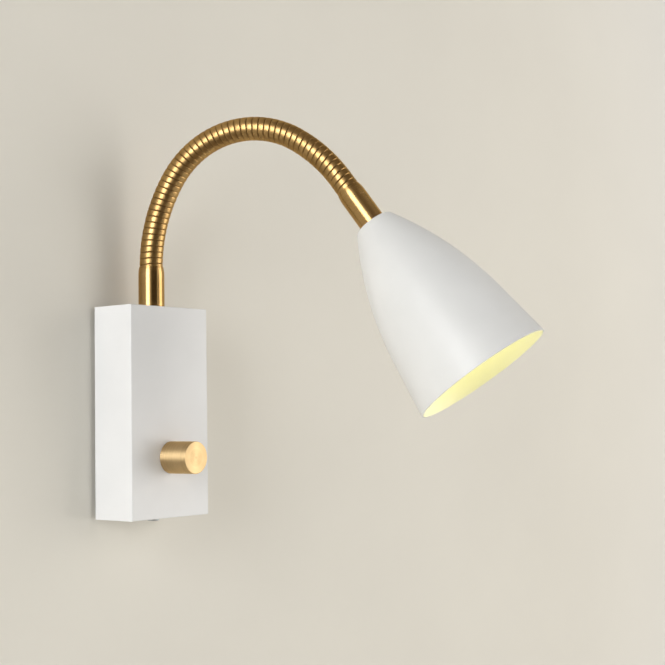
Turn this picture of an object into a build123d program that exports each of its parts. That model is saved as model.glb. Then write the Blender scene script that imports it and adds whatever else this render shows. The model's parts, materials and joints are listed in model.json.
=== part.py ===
from build123d import *
from math import atan2, cos, degrees, radians, sin, sqrt, tan
import os

# Wall lamp: a folded steel box on the wall carries a ribbed gooseneck with a bell shade at its end.
# Millimetres. The origin is on the wall behind the middle of the box, +Z is up and the room is at -Y.
os.makedirs("parts", exist_ok=True)

# Box on the wall
box_width = 60.0
box_height = 120.0
box_depth = 30.0
box_sheet = 1.2
box_edge_radius = 0.5
wall_gap = 2.0
lip_height = 6.7
lip_width = 36.0

# Wall plate and its fixings
plate_sheet = 1.5
plate_side_gap = 2.0
flange_gap = 0.3
hook_width = 30.0
hook_gap = 0.4
hook_rise = 5.0
foot_width = 24.0
foot_reach = 24.0
slot_spacing = 70.0
slot_length = 10.0
slot_width = 5.0
grommet_bore = 8.0
grommet_barrel = 14.0
grommet_flange = 18.0
grommet_flange_height = 1.5
cover_screw_size = 4.0
screw_play = 0.3
screw_head_diameter = 7.2
screw_head_height = 2.2
screw_head_fillet = 0.9
screw_slot_width = 0.8
screw_slot_depth = 1.1
cross_slot_span = 4.0
cover_nut_height = 4.0
cover_nut_diameter = 8.0

# Terminal block and earth
block_width = 20.0
block_height = 12.0
block_depth = 13.0
block_center_z = 19.0
block_edge_radius = 1.0
pole_pitch = 10.0
terminal_hole = 4.0
terminal_screw = 3.6
terminal_screw_length = 4.0
terminal_slot_span = 2.9
terminal_slot_width = 0.7
terminal_slot_depth = 1.0
wire_diameter = 2.2
wire_entry_depth = 3.0
wire_entry_play = 0.2
earth_edge_gap = 8.8
earth_z = -16.0
earth_screw_size = 4.0
earth_ring_diameter = 9.0
earth_ring_sheet = 0.8
earth_wire_lift = 0.1

# Dimmer and knob
knob_z = -25.9
knob_diameter = 18.2
knob_length = 19.5
knob_gap = 0.4
knob_edge_radius = 0.5
knob_skirt_wall = 1.4
knob_bore_depth = 14.0
dimmer_width = 24.0
dimmer_depth = 13.0
dimmer_edge_radius = 1.0
bush_diameter = 7.5
bush_length = 7.0
bush_play = 0.15
dimmer_nut_flats = 11.0
dimmer_nut_height = 2.4
shaft_diameter = 6.0
shaft_play = 0.05
shaft_seat_depth = 8.0
shaft_end_gap = 0.4
grub_diameter = 3.0
grub_play = 0.04
grub_inset = 0.6
grub_socket = 1.5
grub_socket_depth = 1.5
grub_from_front = 10.0

# Gooseneck
neck_azimuth = 22.0
collar_diameter = 15.0
collar_length = 24.0
collar_mouth_diameter = 13.8
collar_taper = 5.0
hose_insert = 13.0
hose_play = 0.05
spigot_diameter = 10.0
spigot_play = 0.15
thread_play = 0.05
washer_sheet = 1.0
washer_diameter = 18.0
washer_tag_width = 6.0
washer_tag_reach = 16.0
collar_nut_flats = 14.0
collar_nut_height = 4.0
spigot_tail = 2.0
rise_radius = 96.0
rise_turn = 32.0
crown_radius = 54.5
crown_turn = 90.0
fall_radius = 90.0
fall_turn = 23.0
fall_straight = 7.2
hose_diameter = 13.4
rib_depth = 0.6
rib_share = 0.5
rib_flank = 0.35
link_count = 13
ribs_per_link = 4
hose_bore = 6.0
ball_diameter = 11.2
ball_play = 0.2
ball_nose_angle = 30.0
flare_angle = 14.0
flare_lead_in = 0.4
lead_diameter = 4.8
lead_gap = 0.5
lead_tail = 2.0

# Shade
shade_sheet = 1.0
shade_flat_radius = 9.2
shade_shoulder_radius = 3.0
shade_shoulder_turn = 60.0
shade_bell_radius = 190.7
shade_bell_turn = 22.1
shade_skirt_length = 33.0
shade_washer_diameter = 17.0

# Lampholder and bulb
holder_gap = 0.3
holder_cap_height = 12.0
holder_cap_top_radius = 8.5
holder_diameter = 25.0
holder_body_height = 26.0
holder_floor = 4.0
holder_wall = 3.2
shell_diameter = 16.0
shell_sheet = 0.6
shell_length = 20.0
shell_play = 0.05
contact_diameter = 6.0
contact_height = 1.2
cap_diameter = 13.9
cap_length = 18.0
cap_contact_diameter = 7.0
cap_contact_height = 2.0
globe_diameter = 45.0
globe_glass = 0.8
globe_neck_radius = 7.5
globe_neck_length = 28.5
globe_neck_fillet = 10.0

# Wiring: how far each wire runs on before it turns, where it is led inside the box, and its bends
core_gap = 0.3
lead_turn_drop = 7.3
dimmer_wire_x = 7.0
dimmer_turn_rise = 9.9
live_turn_rise = 11.0
live_side = 14.0
live_high_back = 2.3
live_low_back = 1.3
live_low_rise = 10.0
live_bends = [6.0, 7.0, 9.0, 9.0]
neutral_turn_rise = 5.0
neutral_side = 1.0
neutral_reach = 2.0
neutral_drop = 5.5
neutral_bends = [12.0, 8.0, 5.5]
switched_low_side = 9.0
switched_low_reach = 0.7
switched_low_rise = 16.0
switched_high_side = 6.0
switched_high_back = 0.3
switched_high_drop = 12.5
switched_bends = [30.0, 30.0, 16.0, 8.0]
earth_turn_rise = 16.0
earth_low_side = 3.0
earth_low_reach = 6.3
earth_low_rise = 18.0
earth_high_side = 2.0
earth_high_back = 2.0
earth_high_drop = 12.0
tag_turn_drop = 9.8
earth_bends = [20.0, 40.0, 20.0, 10.0]

# Places worked out from those sizes
cover_back = wall_gap
cover_front = wall_gap + box_depth
box_top = box_height / 2
inner_top = box_top - box_sheet
plate_width = box_width - 2 * (box_sheet + plate_side_gap)
earth_x = earth_edge_gap - plate_width / 2
neck_y = -(wall_gap + box_depth / 2)
outward = Vector(sin(radians(neck_azimuth)), -cos(radians(neck_azimuth)), 0)
neck_side = Vector(cos(radians(neck_azimuth)), sin(radians(neck_azimuth)), 0)
hose_radius = hose_diameter / 2
groove_radius = hose_radius - rib_depth
lower_spigot = box_sheet + washer_sheet + collar_nut_height + spigot_tail
holder_low = shade_sheet + washer_sheet + collar_nut_height + holder_gap
holder_floor_low = holder_low + holder_cap_height
upper_spigot = holder_low + holder_cap_height / 2
lead_below = collar_length + lower_spigot + lead_tail
lead_above = collar_length + holder_floor_low

# Working planes: on the wall looking out of it, on the box front, and up the middle of the box top
wall = Plane((0, 0, 0), x_dir=(1, 0, 0), z_dir=(0, -1, 0))
knob_front = Plane((0, -cover_front, knob_z), x_dir=(1, 0, 0), z_dir=(0, -1, 0))
neck_foot = Plane((0, neck_y, box_top), x_dir=outward, z_dir=(0, 0, 1))
neck_plane = Plane((0, neck_y, box_top + collar_length), x_dir=outward, z_dir=-neck_side)

# The middle line of the gooseneck and its lead, from inside the box to the top of the lampholder
with BuildLine(neck_plane) as neck_line:
    foot_run = Line((0, -lead_below), (0, 0))
    rise = JernArc(foot_run @ 1, foot_run % 1, rise_radius, -rise_turn)
    crown = JernArc(rise @ 1, rise % 1, crown_radius, -crown_turn)
    fall = JernArc(crown @ 1, crown % 1, fall_radius, -fall_turn)
    tip_run = Line(fall @ 1, fall @ 1 + (fall_straight + lead_above) * (fall % 1))
neck_wire = neck_line.wire()
hose_length = neck_wire.length - lead_below - lead_above
rib_pitch = hose_length / (link_count * ribs_per_link)
rib_width = rib_share * rib_pitch
link_length = ribs_per_link * rib_pitch
shade_axis = tip_run % 1
shade_top = fall @ 1 + (fall_straight + collar_length) * shade_axis
head = Plane(shade_top, x_dir=neck_side, z_dir=shade_axis)
neck_head = Plane(shade_top, x_dir=neck_side, z_dir=-shade_axis)


def keep(piece, name):
    """Label a finished piece and write it to its own file."""
    piece.part.label = name
    export_step(piece.part, f"parts/{name}.step")


def through_axis(plane):
    """The plane that holds a turned piece's profile: x is the radius and y runs along the axis."""
    return Plane(plane.origin, x_dir=plane.x_dir, z_dir=plane.x_dir.cross(plane.z_dir))


def axis_of(plane):
    return Axis(plane.origin, plane.z_dir)


def turned(plane, outline):
    """A turned piece from the corners of its half section, as (radius, height) pairs."""
    with BuildPart() as piece:
        with BuildSketch(through_axis(plane)):
            with BuildLine():
                Polyline(*outline, close=True)
            make_face()
        revolve(axis=axis_of(plane))
    return piece


def ring(plane, inner, outer, low, high):
    return turned(plane, [(inner, low), (outer, low), (outer, high), (inner, high)])


def hex_nut(plane, flats, bore, low, height):
    with BuildPart() as nut:
        with BuildSketch(plane.offset(low)):
            RegularPolygon(flats / 2, 6, major_radius=False)
            Circle(bore / 2, mode=Mode.SUBTRACT)
        extrude(amount=height)
    return nut


def bent_wire(route, bend):
    """A wire of round section along straight runs joined by arcs."""
    with BuildPart() as wire:
        with BuildLine() as run:
            FilletPolyline(*route, radius=bend)
        with BuildSketch(Plane(run.line @ 0, z_dir=run.line % 0)):
            Circle(wire_diameter / 2)
        sweep(path=run.wire())
    return wire


# Box cover: a five-sided folded shell, open to the wall, with a lip behind its top that hangs on the plate
with BuildPart() as box_cover:
    with BuildSketch(wall.offset(cover_back)):
        Rectangle(box_width, box_height)
    extrude(amount=box_depth)
    front_face = box_cover.faces().sort_by(Axis.Y)[0]
    fillet(front_face.edges(), box_edge_radius)
    with BuildSketch(wall.offset(cover_back)):
        Rectangle(box_width - 2 * box_sheet, box_height - 2 * box_sheet)
    extrude(amount=box_depth - box_sheet, mode=Mode.SUBTRACT)
    with BuildSketch(wall.offset(cover_back)):
        with Locations((0, inner_top)):
            Rectangle(lip_width, lip_height, align=(Align.CENTER, Align.MAX))
    extrude(amount=box_sheet)
    with BuildSketch(Plane((0, neck_y, inner_top))):
        Circle(spigot_diameter / 2 + spigot_play)
    extrude(amount=box_sheet, mode=Mode.SUBTRACT)
    with BuildSketch(Plane((0, neck_y, -box_top))):
        Circle(cover_screw_size / 2 + screw_play)
    extrude(amount=box_sheet, mode=Mode.SUBTRACT)
    with BuildSketch(knob_front.offset(-box_sheet)):
        Circle(bush_diameter / 2 + bush_play)
    extrude(amount=box_sheet, mode=Mode.SUBTRACT)
keep(box_cover, "box_cover")

# Wall plate: a flat steel plate with two slots, the cable hole, a hook at the top and a foot at the bottom
foot_z = -box_top + box_sheet + flange_gap
hook_z = inner_top - lip_height - flange_gap - plate_sheet
hook_reach = cover_back + box_sheet + hook_gap + plate_sheet
with BuildPart() as wall_plate:
    with BuildSketch(wall):
        with Locations((0, foot_z)):
            Rectangle(plate_width, hook_z + plate_sheet - foot_z, align=(Align.CENTER, Align.MIN))
        with GridLocations(0, slot_spacing, 1, 2):
            SlotOverall(slot_length, slot_width, rotation=90, mode=Mode.SUBTRACT)
        Circle(grommet_barrel / 2, mode=Mode.SUBTRACT)
        with Locations((earth_x, earth_z)):
            Circle(earth_screw_size / 2, mode=Mode.SUBTRACT)
    extrude(amount=plate_sheet)
    with BuildSketch(Plane((0, 0, hook_z))):
        Rectangle(hook_width, hook_reach, align=(Align.CENTER, Align.MAX))
    extrude(amount=plate_sheet)
    with BuildSketch(Plane((0, -hook_reach, hook_z))):
        Rectangle(hook_width, plate_sheet, align=(Align.CENTER, Align.MIN))
    extrude(amount=plate_sheet + hook_rise)
    with BuildSketch(Plane((0, 0, foot_z))):
        Rectangle(foot_width, foot_reach, align=(Align.CENTER, Align.MAX))
        with Locations((0, neck_y)):
            Circle(cover_screw_size / 2 + screw_play, mode=Mode.SUBTRACT)
    extrude(amount=plate_sheet)
keep(wall_plate, "wall_plate")

# Cable grommet: a bush in the plate's cable hole, flush with the wall
cable_grommet = turned(
    wall,
    [
        (grommet_bore / 2, 0),
        (grommet_barrel / 2, 0),
        (grommet_barrel / 2, plate_sheet),
        (grommet_flange / 2, plate_sheet),
        (grommet_flange / 2, plate_sheet + grommet_flange_height),
        (grommet_bore / 2, plate_sheet + grommet_flange_height),
    ],
)
keep(cable_grommet, "cable_grommet")

# Cover screw and the nut on the plate's foot that it goes into
screw_axis = Plane((0, neck_y, -box_top), x_dir=(1, 0, 0), z_dir=(0, 0, 1))
nut_low = foot_z + plate_sheet + box_top
cover_nut = ring(
    screw_axis,
    cover_screw_size / 2 + thread_play,
    cover_nut_diameter / 2,
    nut_low,
    nut_low + cover_nut_height,
)
keep(cover_nut, "cover_nut")
with BuildPart() as cover_screw:
    with BuildSketch(screw_axis.offset(-screw_head_height)):
        Circle(screw_head_diameter / 2)
    extrude(amount=screw_head_height)
    fillet(cover_screw.edges().group_by(Axis.Z)[0], screw_head_fillet)
    with BuildSketch(screw_axis):
        Circle(cover_screw_size / 2)
    extrude(amount=nut_low + cover_nut_height + box_sheet)
    with BuildSketch(screw_axis.offset(-screw_head_height)):
        Rectangle(cross_slot_span, screw_slot_width)
        Rectangle(screw_slot_width, cross_slot_span)
    extrude(amount=screw_slot_depth, mode=Mode.SUBTRACT)
keep(cover_screw, "cover_screw")

# Terminal block on the plate: two poles, each with a screw for the mains and one for the lamp
block_front = wall.offset(plate_sheet + block_depth)
terminal_hole_depth = (block_depth - wire_diameter) / 2
with BuildPart() as terminal_block:
    with BuildSketch(wall.offset(plate_sheet)):
        with Locations((0, block_center_z)):
            RectangleRounded(block_width, block_height, block_edge_radius)
    extrude(amount=block_depth)
    with BuildSketch(block_front):
        with Locations((0, block_center_z)):
            with GridLocations(pole_pitch, block_height / 2, 2, 2):
                Circle(terminal_hole / 2)
    extrude(amount=-terminal_hole_depth, mode=Mode.SUBTRACT)
    wire_hole_y = -(plate_sheet + block_depth / 2)
    with BuildSketch(Plane((0, wire_hole_y, block_center_z + block_height / 2))):
        with GridLocations(pole_pitch, 0, 2, 1):
            Circle(wire_diameter / 2 + wire_entry_play)
    extrude(amount=-wire_entry_depth, mode=Mode.SUBTRACT)
    with BuildSketch(Plane((0, wire_hole_y, block_center_z - block_height / 2))):
        with GridLocations(pole_pitch, 0, 2, 1):
            Circle(wire_diameter / 2 + wire_entry_play)
    extrude(amount=wire_entry_depth, mode=Mode.SUBTRACT)
keep(terminal_block, "terminal_block")

with BuildPart() as terminal_screws:
    with BuildSketch(block_front.offset(-terminal_hole_depth)):
        with Locations((0, block_center_z)):
            with GridLocations(pole_pitch, block_height / 2, 2, 2):
                Circle(terminal_screw / 2)
    extrude(amount=terminal_screw_length)
    with BuildSketch(block_front.offset(terminal_screw_length - terminal_hole_depth)):
        with Locations((0, block_center_z)):
            with GridLocations(pole_pitch, block_height / 2, 2, 2):
                Rectangle(terminal_slot_span, terminal_slot_width)
    extrude(amount=-terminal_slot_depth, mode=Mode.SUBTRACT)
keep(terminal_screws, "terminal_screws")

# Earth screw on the plate
earth_axis = Plane((earth_x, 0, earth_z), x_dir=(1, 0, 0), z_dir=(0, -1, 0))
ring_face = plate_sheet + earth_ring_sheet
with BuildPart() as earth_screw:
    with BuildSketch(earth_axis):
        Circle(earth_screw_size / 2 - thread_play)
    extrude(amount=ring_face)
    with BuildSketch(earth_axis.offset(ring_face)):
        Circle(screw_head_diameter / 2)
    extrude(amount=screw_head_height)
    with BuildSketch(earth_axis.offset(ring_face + screw_head_height)):
        Rectangle(screw_head_diameter, screw_slot_width)
    extrude(amount=-screw_slot_depth, mode=Mode.SUBTRACT)
keep(earth_screw, "earth_screw")

# Rotary dimmer behind the front of the box, held by its bush and nut
dimmer_back = -(box_sheet + dimmer_depth)
with BuildPart() as dimmer_case:
    with BuildSketch(knob_front.offset(dimmer_back)):
        RectangleRounded(dimmer_width, dimmer_width, dimmer_edge_radius)
    extrude(amount=dimmer_depth)
    with BuildSketch(knob_front.offset(-box_sheet)):
        Circle(shaft_diameter / 2 + shaft_play)
    extrude(amount=-shaft_seat_depth, mode=Mode.SUBTRACT)
keep(dimmer_case, "dimmer_case")

dimmer_bush = ring(
    knob_front,
    shaft_diameter / 2 + shaft_play,
    bush_diameter / 2,
    -box_sheet,
    bush_length - box_sheet,
)
keep(dimmer_bush, "dimmer_bush")

dimmer_nut = hex_nut(
    knob_front, dimmer_nut_flats, bush_diameter + 2 * thread_play, 0, dimmer_nut_height
)
keep(dimmer_nut, "dimmer_nut")

# Knob: a plain turned cylinder, hollow behind for the nut, with a grub screw in its underside
knob_face = knob_gap + knob_length
shaft_end = knob_gap + knob_bore_depth
knob_hollow = bush_length - box_sheet + knob_gap
grub_y = -(cover_front + knob_face - grub_from_front)
grub_axis = Plane((0, grub_y, knob_z), x_dir=(1, 0, 0), z_dir=(0, 0, -1))
with BuildPart() as knob:
    with BuildSketch(knob_front.offset(knob_gap)):
        Circle(knob_diameter / 2)
    extrude(amount=knob_length)
    fillet(knob.edges().sort_by(Axis.Y)[0], knob_edge_radius)
    with BuildSketch(knob_front.offset(knob_gap)):
        Circle(knob_diameter / 2 - knob_skirt_wall)
    extrude(amount=knob_hollow - knob_gap, mode=Mode.SUBTRACT)
    with BuildSketch(knob_front.offset(knob_gap)):
        Circle(shaft_diameter / 2 + shaft_play)
    extrude(amount=shaft_end - knob_gap, mode=Mode.SUBTRACT)
    with BuildSketch(grub_axis):
        Circle(grub_diameter / 2)
    extrude(amount=knob_diameter, mode=Mode.SUBTRACT)
keep(knob, "knob")

with BuildPart() as knob_screw:
    with BuildSketch(grub_axis.offset(shaft_diameter / 2)):
        Circle(grub_diameter / 2 - grub_play)
    extrude(amount=(knob_diameter - shaft_diameter) / 2 - grub_inset)
    with BuildSketch(grub_axis.offset(knob_diameter / 2 - grub_inset)):
        RegularPolygon(grub_socket / 2, 6, major_radius=False)
    extrude(amount=-grub_socket_depth, mode=Mode.SUBTRACT)
keep(knob_screw, "knob_screw")

shaft_back = shaft_end_gap - box_sheet - shaft_seat_depth
with BuildPart() as dimmer_shaft:
    with BuildSketch(knob_front.offset(shaft_back)):
        Circle(shaft_diameter / 2)
    extrude(amount=shaft_end - shaft_back)
keep(dimmer_shaft, "dimmer_shaft")


# Collars: the same turned collar at both ends of the neck, with a socket for the hose and a threaded spigot
def collar(plane, spigot_length):
    radius = collar_diameter / 2
    mouth = collar_mouth_diameter / 2
    socket = groove_radius + hose_play
    floor = collar_length - hose_insert
    bore = hose_bore / 2
    spigot = spigot_diameter / 2
    with BuildPart() as piece:
        with BuildSketch(through_axis(plane)):
            with BuildLine():
                side = Polyline(
                    (mouth, collar_length),
                    (socket, collar_length),
                    (socket, floor),
                    (bore, floor),
                    (bore, -spigot_length),
                    (spigot, -spigot_length),
                    (spigot, 0),
                    (radius, 0),
                    (radius, collar_length - collar_taper),
                )
                TangentArc(side @ 1, side @ 0, tangent=side % 1)
            make_face()
        revolve(axis=axis_of(plane))
    return piece


lower_collar = collar(neck_foot, lower_spigot)
keep(lower_collar, "lower_collar")
collar_bore = spigot_diameter / 2 + thread_play
with BuildPart() as collar_washer:
    with BuildSketch(Plane((0, neck_y, inner_top))):
        Circle(washer_diameter / 2)
        Rectangle(washer_tag_reach, washer_tag_width, align=(Align.MAX, Align.CENTER))
        Circle(collar_bore, mode=Mode.SUBTRACT)
    extrude(amount=-washer_sheet)
keep(collar_washer, "collar_washer")
collar_nut = hex_nut(
    neck_foot,
    collar_nut_flats,
    2 * collar_bore,
    -box_sheet - washer_sheet - collar_nut_height,
    collar_nut_height,
)
keep(collar_nut, "collar_nut")

upper_collar = collar(neck_head, upper_spigot)
keep(upper_collar, "upper_collar")


# Gooseneck: ribbed links that turn on each other like balls in sockets, with the lead through their bore
def neck_section(station):
    """The plane square to the neck at a distance from the lower collar's mouth."""
    at = station + lead_below
    return Plane(
        neck_wire.position_at(at, PositionMode.LENGTH),
        x_dir=neck_side,
        z_dir=neck_wire.tangent_at(at, PositionMode.LENGTH),
    )


def hose_stations(link):
    """Where the circles of a link's outside lie along the neck, and their radii."""
    stations = []
    if link == 0:
        stations.append((-hose_insert, groove_radius))
    for rib in range(ribs_per_link):
        start = link * link_length + rib * rib_pitch
        stations.append((start, groove_radius))
        stations.append((start + rib_flank, hose_radius))
        stations.append((start + rib_width - rib_flank, hose_radius))
        stations.append((start + rib_width, groove_radius))
    if link == link_count - 1:
        stations.append((hose_length + hose_insert, groove_radius))
    return stations


def lead_stations(link):
    """Where the circles of a link's piece of the lead lie along the neck."""
    start = link * link_length
    low = [-lead_below, 0] if link == 0 else [start + lead_gap]
    middle = [start + rib * rib_pitch for rib in range(1, ribs_per_link)]
    high = [start + link_length - lead_gap]
    if link == link_count - 1:
        high = [hose_length, hose_length + lead_above]
    return low + middle + high


with BuildPart() as bore_core:
    with BuildSketch(neck_section(-lead_below)):
        Circle(hose_bore / 2)
    sweep(path=neck_wire)

flare_reach = ball_diameter / 2 * sin(radians(ball_nose_angle))
flare_growth = 2 * flare_reach * tan(radians(flare_angle))
flare_start = flare_reach + flare_lead_in / tan(radians(flare_angle))
for link in range(link_count):
    joint_section = neck_section((link + 1) * link_length)
    with BuildPart() as neck_hose:
        for station, radius in hose_stations(link):
            with BuildSketch(neck_section(station)):
                Circle(radius)
        loft(ruled=True)
        if link < link_count - 1:
            with Locations(joint_section):
                Sphere(ball_diameter / 2, arc_size2=ball_nose_angle, align=None)
        add(bore_core.part, mode=Mode.SUBTRACT)
        if link < link_count - 1:
            with BuildSketch(joint_section.offset(-flare_start)):
                Circle(hose_bore / 2 - flare_lead_in)
            with BuildSketch(joint_section.offset(flare_reach)):
                Circle(hose_bore / 2 + flare_growth)
            loft(mode=Mode.SUBTRACT)
        if link > 0:
            with Locations(neck_section(link * link_length)):
                Sphere(ball_diameter / 2 + ball_play, mode=Mode.SUBTRACT)
    keep(neck_hose, f"neck_hose_{link + 1:02d}")

    with BuildPart() as neck_lead:
        for station in lead_stations(link):
            with BuildSketch(neck_section(station)):
                Circle(lead_diameter / 2)
        loft(ruled=True)
    keep(neck_lead, f"neck_lead_{link + 1:02d}")


# Shade: a thin spun bell with a flat top, a small round shoulder and a straight skirt
def shade_side(inset):
    """The line of the shade's side, outside or set in by the sheet."""
    top = Line((spigot_diameter / 2 + spigot_play, inset), (shade_flat_radius, inset))
    shoulder = JernArc(top @ 1, top % 1, shade_shoulder_radius - inset, shade_shoulder_turn)
    bell = JernArc(shoulder @ 1, shoulder % 1, shade_bell_radius - inset, shade_bell_turn)
    skirt = Line(bell @ 1, bell @ 1 + shade_skirt_length * (bell % 1))
    return top @ 0, skirt @ 1


with BuildPart() as shade:
    with BuildSketch(through_axis(head)):
        with BuildLine():
            outer_hole, outer_rim = shade_side(0)
            inner_hole, inner_rim = shade_side(shade_sheet)
            Line(outer_hole, inner_hole)
            Line(outer_rim, inner_rim)
        make_face()
    revolve(axis=axis_of(head))
keep(shade, "shade")

shade_washer = ring(
    head,
    collar_bore,
    shade_washer_diameter / 2,
    shade_sheet,
    shade_sheet + washer_sheet,
)
keep(shade_washer, "shade_washer")
shade_nut = hex_nut(
    head, collar_nut_flats, 2 * collar_bore, shade_sheet + washer_sheet, collar_nut_height
)
keep(shade_nut, "shade_nut")

# Lampholder: a domed cap on the collar's spigot and a body with the threaded shell for the bulb
holder_radius = holder_diameter / 2
lampholder_cap = turned(
    head,
    [
        (collar_bore, holder_low),
        (holder_cap_top_radius, holder_low),
        (holder_radius, holder_low + holder_cap_height / 2),
        (holder_radius, holder_floor_low),
        (holder_radius - holder_wall, holder_floor_low),
        (holder_radius - holder_wall, upper_spigot),
        (collar_bore, upper_spigot),
    ],
)
keep(lampholder_cap, "lampholder_cap")

floor_top = holder_floor_low + holder_floor
lampholder_body = turned(
    head,
    [
        (0, holder_floor_low),
        (holder_radius, holder_floor_low),
        (holder_radius, holder_floor_low + holder_body_height),
        (shell_diameter / 2 + shell_play, holder_floor_low + holder_body_height),
        (shell_diameter / 2 + shell_play, floor_top),
        (0, floor_top),
    ],
)
keep(lampholder_body, "lampholder_body")
lampholder_shell = ring(
    head,
    shell_diameter / 2 - shell_sheet,
    shell_diameter / 2,
    floor_top,
    floor_top + shell_length,
)
keep(lampholder_shell, "lampholder_shell")
lampholder_contact = turned(
    head,
    [
        (0, floor_top),
        (contact_diameter / 2, floor_top),
        (contact_diameter / 2, floor_top + contact_height),
        (0, floor_top + contact_height),
    ],
)
keep(lampholder_contact, "lampholder_contact")

# Bulb: a screw cap with its contact, and a round opal globe
cap_low = floor_top + contact_height
cap_shoulder = cap_low + cap_contact_height
cap_top = cap_shoulder + cap_length
bulb_cap = turned(
    head,
    [
        (0, cap_low),
        (cap_contact_diameter / 2, cap_low),
        (cap_diameter / 2, cap_shoulder),
        (cap_diameter / 2, cap_top),
        (0, cap_top),
    ],
)
keep(bulb_cap, "bulb_cap")


def globe_side(inset):
    """The line of the globe's side, outside or set in by the glass: a neck that swells into a ball."""
    reach = globe_diameter / 2 + globe_neck_fillet
    spread = globe_neck_radius + globe_neck_fillet
    swell = sqrt(reach**2 - spread**2)
    turn = degrees(atan2(swell, spread))
    neck = globe_neck_radius - inset
    stem = Line((neck, cap_top), (neck, cap_top + globe_neck_length - swell))
    flank = JernArc(stem @ 1, stem % 1, globe_neck_fillet + inset, -turn)
    ball = JernArc(flank @ 1, flank % 1, globe_diameter / 2 - inset, 90 + turn)
    return stem @ 0, ball @ 1


with BuildPart() as bulb_globe:
    with BuildSketch(through_axis(head)):
        with BuildLine():
            outer_neck, outer_pole = globe_side(0)
            inner_neck, inner_pole = globe_side(globe_glass)
            Line(outer_neck, inner_neck)
            Line(outer_pole, inner_pole)
        make_face()
    revolve(axis=axis_of(head))
keep(bulb_globe, "bulb_globe")

# Wiring in the box: the ends sit in the terminal block, on the dimmer and at the end of the neck's lead
block_top = block_center_z + block_height / 2
block_seat = block_top - wire_entry_depth
dimmer_top = knob_z + dimmer_width / 2
dimmer_turn = dimmer_top + dimmer_turn_rise
dimmer_wire_y = -cover_front + box_sheet + dimmer_depth / 2
lead_end = box_top - lower_spigot - lead_tail
lead_turn = lead_end - lead_turn_drop
core_x = (wire_diameter + core_gap) / 2
pole_x = pole_pitch / 2
live_turn = block_top + live_turn_rise
live_wire = bent_wire(
    [
        (pole_x, wire_hole_y, block_seat),
        (pole_x, wire_hole_y, live_turn),
        (live_side, dimmer_wire_y + live_high_back, live_turn),
        (live_side, dimmer_wire_y + live_low_back, dimmer_turn + live_low_rise),
        (dimmer_wire_x, dimmer_wire_y, dimmer_turn),
        (dimmer_wire_x, dimmer_wire_y, dimmer_top),
    ],
    live_bends,
)
keep(live_wire, "live_wire")
neutral_wire = bent_wire(
    [
        (-pole_x, wire_hole_y, block_seat),
        (-pole_x, wire_hole_y, block_top + neutral_turn_rise),
        (-pole_x - neutral_side, wire_hole_y - neutral_reach, lead_turn - neutral_drop),
        (-core_x, neck_y, lead_turn),
        (-core_x, neck_y, lead_end),
    ],
    neutral_bends,
)
keep(neutral_wire, "neutral_wire")
switched_low_y = dimmer_wire_y - switched_low_reach
switched_high_y = dimmer_wire_y + switched_high_back
switched_wire = bent_wire(
    [
        (-dimmer_wire_x, dimmer_wire_y, dimmer_top),
        (-dimmer_wire_x, dimmer_wire_y, dimmer_turn),
        (-switched_low_side, switched_low_y, dimmer_turn + switched_low_rise),
        (-switched_high_side, switched_high_y, lead_turn - switched_high_drop),
        (core_x, neck_y, lead_turn),
        (core_x, neck_y, lead_end),
    ],
    switched_bends,
)
keep(switched_wire, "switched_wire")

# Earth wire: a ring under the earth screw, and a wire up to the tag of the collar's washer
tag_end = -washer_tag_reach + washer_tag_width / 2
tag_low = inner_top - washer_sheet
tag_turn = tag_low - tag_turn_drop
earth_turn = earth_z + earth_turn_rise
earth_wire_y = -(plate_sheet + wire_diameter / 2 + earth_wire_lift)
earth_run = bent_wire(
    [
        (earth_x, earth_wire_y, earth_z + earth_ring_diameter / 2 - wire_diameter / 4),
        (earth_x, earth_wire_y, earth_turn),
        (earth_x - earth_low_side, earth_wire_y - earth_low_reach, earth_turn + earth_low_rise),
        (earth_x - earth_high_side, neck_y + earth_high_back, tag_turn - earth_high_drop),
        (tag_end, neck_y, tag_turn),
        (tag_end, neck_y, tag_low),
    ],
    earth_bends,
)
with BuildPart() as earth_wire:
    with BuildSketch(earth_axis.offset(plate_sheet)):
        Circle(earth_ring_diameter / 2)
        Circle(earth_screw_size / 2 + thread_play, mode=Mode.SUBTRACT)
    extrude(amount=earth_ring_sheet)
    add(earth_run.part)
keep(earth_wire, "earth_wire")
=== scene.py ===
# %% [markdown]
# # A wall lamp on a gooseneck
# The lamp is a folded steel box on a wall, a ribbed brass gooseneck and a white bell shade.
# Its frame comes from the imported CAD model: one object per node, in metres, with +Z up and the
# wall at y = 0. Most pieces keep their CAD shape, and this lesson gives them their finishes. The
# gooseneck is modelled anew, because its fine wound form is easier to make here.

# %% Load the frame
import json
import math

import bpy
from mathutils import Matrix, Vector


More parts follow.
